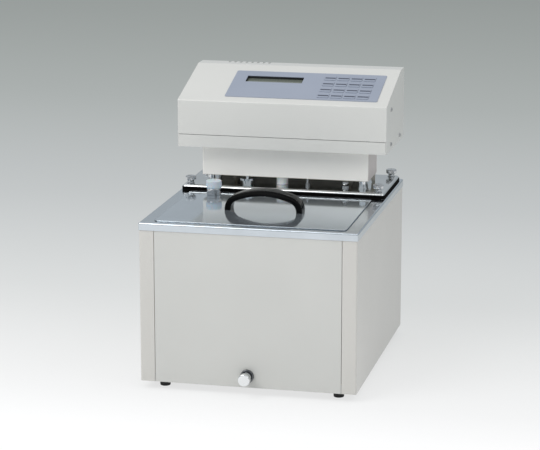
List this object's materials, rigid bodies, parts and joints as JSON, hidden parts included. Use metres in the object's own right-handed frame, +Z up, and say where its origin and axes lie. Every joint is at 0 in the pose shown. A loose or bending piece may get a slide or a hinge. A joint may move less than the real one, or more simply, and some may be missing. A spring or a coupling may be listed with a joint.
{
  "type": "thermostatic bath",
  "caption": "Insulated stainless bath in a painted cabinet, with a lift-off lid and a keyed control head on a bridge that carries its heater, stirring pump and probes.",
  "frame": {"origin": "on the floor under the middle of the overall outline", "axes": "+X to the right of someone who faces the keypad, +Y from the drain outlet towards the mains inlet, +Z up"},
  "size_m": [0.356, 0.447, 0.4674],
  "materials": {
    "black": "glossy black moulded plastic",
    "black_matte": "black moulded plastic",
    "board": "green fibreglass board with its parts",
    "cast": "plain aluminium motor case",
    "chrome": "bright plated brass",
    "film": "blue-grey printed film with a fine texture",
    "glass": "clear window over a grey-green display",
    "machined": "turned and ground stainless steel",
    "paint": "satin light grey enamel on bent sheet steel",
    "paint_side": "satin light grey enamel on bent sheet steel",
    "ptfe": "white fluoropolymer",
    "rubber": "black rubber",
    "sheath": "dull heat-tinted stainless sheath",
    "steel": "bright polished stainless sheet",
    "stopper": "milky blue-white polymer",
    "wool": "pressed mineral wool slab",
    "zinc": "zinc-plated steel"
  },
  "bodies": {
    "cabinet": {"side_panel_left": "paint_side", "side_panel_right": "paint_side", "front_panel": "paint", "rear_panel": "paint", "base_pan": "zinc", "feet": "rubber", "foot_screws": "zinc", "bath_tank": "steel", "tank_insulation": "wool", "deck_plate": "steel", "drain_pipe": "machined", "drain_ring": "chrome"},
    "drain_cap": {"drain_cap": "chrome"},
    "lid": {"lid_panel": "steel", "lid_handle": "black", "handle_screws": "zinc", "port_collar": "chrome"},
    "stopper": {"port_stopper": "stopper"},
    "head_unit": {"bridge_plate": "steel", "support_posts": "chrome", "neck_shroud": "paint", "head_chassis": "paint", "head_cover": "paint", "cover_screws": "zinc", "control_panel": "film", "lcd_bezel": "black_matte", "lcd_window": "glass", "display_board": "board", "control_board": "board", "pump_motor": "cast", "pump_housing": "steel", "heater_element": "sheath", "temperature_probe": "machined", "overheat_probe": "chrome", "level_probe": "machined", "inlet_module": "black_matte"},
    "pump_rotor": {"shaft_coupling": "ptfe", "pump_shaft": "machined", "impeller": "machined"},
    "rocker": {"power_rocker": "black"},
    "thumb_screw_front_left": {"thumb_screw_front_left": "chrome"},
    "thumb_screw_front_right": {"thumb_screw_front_right": "chrome"},
    "thumb_screw_rear_left": {"thumb_screw_rear_left": "chrome"},
    "thumb_screw_rear_right": {"thumb_screw_rear_right": "chrome"},
    "key_r1c1": {"key_r1c1": "film"},
    "key_r1c2": {"key_r1c2": "film"},
    "key_r1c3": {"key_r1c3": "film"},
    "key_r1c4": {"key_r1c4": "film"},
    "key_r2c1": {"key_r2c1": "film"},
    "key_r2c2": {"key_r2c2": "film"},
    "key_r2c3": {"key_r2c3": "film"},
    "key_r2c4": {"key_r2c4": "film"},
    "key_r3c1": {"key_r3c1": "film"},
    "key_r3c2": {"key_r3c2": "film"},
    "key_r3c3": {"key_r3c3": "film"},
    "key_r3c4": {"key_r3c4": "film"},
    "key_r4c1": {"key_r4c1": "film"},
    "key_r4c2": {"key_r4c2": "film"},
    "key_r4c3": {"key_r4c3": "film"},
    "key_r4c4": {"key_r4c4": "film"}
  },
  "joints": [
    {"name": "lid_lift", "type": "slide", "parent": "cabinet", "child": "lid", "axis": [0, 0, 1], "range_m": [0, 0.25]},
    {"name": "stopper_pull", "type": "slide", "parent": "lid", "child": "stopper", "axis": [0, 0, 1], "range_m": [0, 0.05]},
    {"name": "unit_lift", "type": "slide", "parent": "cabinet", "child": "head_unit", "axis": [0, 0, 1], "range_m": [0, 0.22]},
    {"name": "pump_spin", "type": "hinge", "parent": "head_unit", "child": "pump_rotor", "pos_m": [-0.008, 0.0925, 0.213], "axis": [0, 0, 1], "continuous": true},
    {"name": "drain_cap_turn", "type": "hinge", "parent": "cabinet", "child": "drain_cap", "pos_m": [0, -0.2125, 0.032], "axis": [0, 1, 0], "continuous": true},
    {"name": "rocker_tilt", "type": "hinge", "parent": "head_unit", "child": "rocker", "pos_m": [0.108, 0.21184, 0.429], "axis": [1, 0, 0], "range_deg": [-16, 0]},
    {"name": "thumb_screw_front_left_turn", "type": "hinge", "parent": "head_unit", "child": "thumb_screw_front_left", "pos_m": [-0.16, 0.0665, 0.2817], "axis": [0, 0, 1], "continuous": true},
    {"name": "thumb_screw_front_right_turn", "type": "hinge", "parent": "head_unit", "child": "thumb_screw_front_right", "pos_m": [0.16, 0.0665, 0.2817], "axis": [0, 0, 1], "continuous": true},
    {"name": "thumb_screw_rear_left_turn", "type": "hinge", "parent": "head_unit", "child": "thumb_screw_rear_left", "pos_m": [-0.16, 0.1935, 0.2817], "axis": [0, 0, 1], "continuous": true},
    {"name": "thumb_screw_rear_right_turn", "type": "hinge", "parent": "head_unit", "child": "thumb_screw_rear_right", "pos_m": [0.16, 0.1935, 0.2817], "axis": [0, 0, 1], "continuous": true},
    {"name": "key_r1c1_press", "type": "slide", "parent": "head_unit", "child": "key_r1c1", "axis": [0, -0.28, 0.96], "range_m": [-0.0005, 0], "stiffness_N_per_m": 2000},
    {"name": "key_r1c2_press", "type": "slide", "parent": "head_unit", "child": "key_r1c2", "axis": [0, -0.28, 0.96], "range_m": [-0.0005, 0], "stiffness_N_per_m": 2000},
    {"name": "key_r1c3_press", "type": "slide", "parent": "head_unit", "child": "key_r1c3", "axis": [0, -0.28, 0.96], "range_m": [-0.0005, 0], "stiffness_N_per_m": 2000},
    {"name": "key_r1c4_press", "type": "slide", "parent": "head_unit", "child": "key_r1c4", "axis": [0, -0.28, 0.96], "range_m": [-0.0005, 0], "stiffness_N_per_m": 2000},
    {"name": "key_r2c1_press", "type": "slide", "parent": "head_unit", "child": "key_r2c1", "axis": [0, -0.28, 0.96], "range_m": [-0.0005, 0], "stiffness_N_per_m": 2000},
    {"name": "key_r2c2_press", "type": "slide", "parent": "head_unit", "child": "key_r2c2", "axis": [0, -0.28, 0.96], "range_m": [-0.0005, 0], "stiffness_N_per_m": 2000},
    {"name": "key_r2c3_press", "type": "slide", "parent": "head_unit", "child": "key_r2c3", "axis": [0, -0.28, 0.96], "range_m": [-0.0005, 0], "stiffness_N_per_m": 2000},
    {"name": "key_r2c4_press", "type": "slide", "parent": "head_unit", "child": "key_r2c4", "axis": [0, -0.28, 0.96], "range_m": [-0.0005, 0], "stiffness_N_per_m": 2000},
    {"name": "key_r3c1_press", "type": "slide", "parent": "head_unit", "child": "key_r3c1", "axis": [0, -0.28, 0.96], "range_m": [-0.0005, 0], "stiffness_N_per_m": 2000},
    {"name": "key_r3c2_press", "type": "slide", "parent": "head_unit", "child": "key_r3c2", "axis": [0, -0.28, 0.96], "range_m": [-0.0005, 0], "stiffness_N_per_m": 2000},
    {"name": "key_r3c3_press", "type": "slide", "parent": "head_unit", "child": "key_r3c3", "axis": [0, -0.28, 0.96], "range_m": [-0.0005, 0], "stiffness_N_per_m": 2000},
    {"name": "key_r3c4_press", "type": "slide", "parent": "head_unit", "child": "key_r3c4", "axis": [0, -0.28, 0.96], "range_m": [-0.0005, 0], "stiffness_N_per_m": 2000},
    {"name": "key_r4c1_press", "type": "slide", "parent": "head_unit", "child": "key_r4c1", "axis": [0, -0.28, 0.96], "range_m": [-0.0005, 0], "stiffness_N_per_m": 2000},
    {"name": "key_r4c2_press", "type": "slide", "parent": "head_unit", "child": "key_r4c2", "axis": [0, -0.28, 0.96], "range_m": [-0.0005, 0], "stiffness_N_per_m": 2000},
    {"name": "key_r4c3_press", "type": "slide", "parent": "head_unit", "child": "key_r4c3", "axis": [0, -0.28, 0.96], "range_m": [-0.0005, 0], "stiffness_N_per_m": 2000},
    {"name": "key_r4c4_press", "type": "slide", "parent": "head_unit", "child": "key_r4c4", "axis": [0, -0.28, 0.96], "range_m": [-0.0005, 0], "stiffness_N_per_m": 2000}
  ]
}
